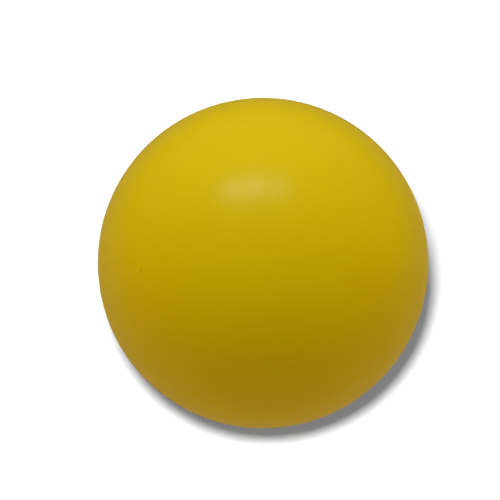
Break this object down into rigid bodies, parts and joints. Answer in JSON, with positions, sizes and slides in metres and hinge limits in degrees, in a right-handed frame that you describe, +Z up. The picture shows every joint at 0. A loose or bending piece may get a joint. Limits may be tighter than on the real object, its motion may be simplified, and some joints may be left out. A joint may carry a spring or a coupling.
{
  "type": "smooth golf ball",
  "caption": "Smooth satin ball for miniature golf and putting: a solid rubber core inside a mantle and a cover made of half shells, primed and lacquered.",
  "frame": {"origin": "the ball's centre", "axes": "+Z up, square to the level joint of the cover's halves; -Y is the front, square to the upright joint of the mantle's halves"},
  "size_m": [0.0427, 0.0426, 0.0428],
  "materials": {
    "core_rubber": "matte",
    "mantle_plastic": "satin",
    "cover_plastic": "satin",
    "primer": "matte",
    "lacquer": "satin"
  },
  "bodies": {
    "root": {"core": "core_rubber", "mantle_front_half": "mantle_plastic", "mantle_back_half": "mantle_plastic", "cover_upper_half": "cover_plastic", "cover_lower_half": "cover_plastic", "primer_coat": "primer", "lacquer_coat": "lacquer"}
  },
  "joints": []
}
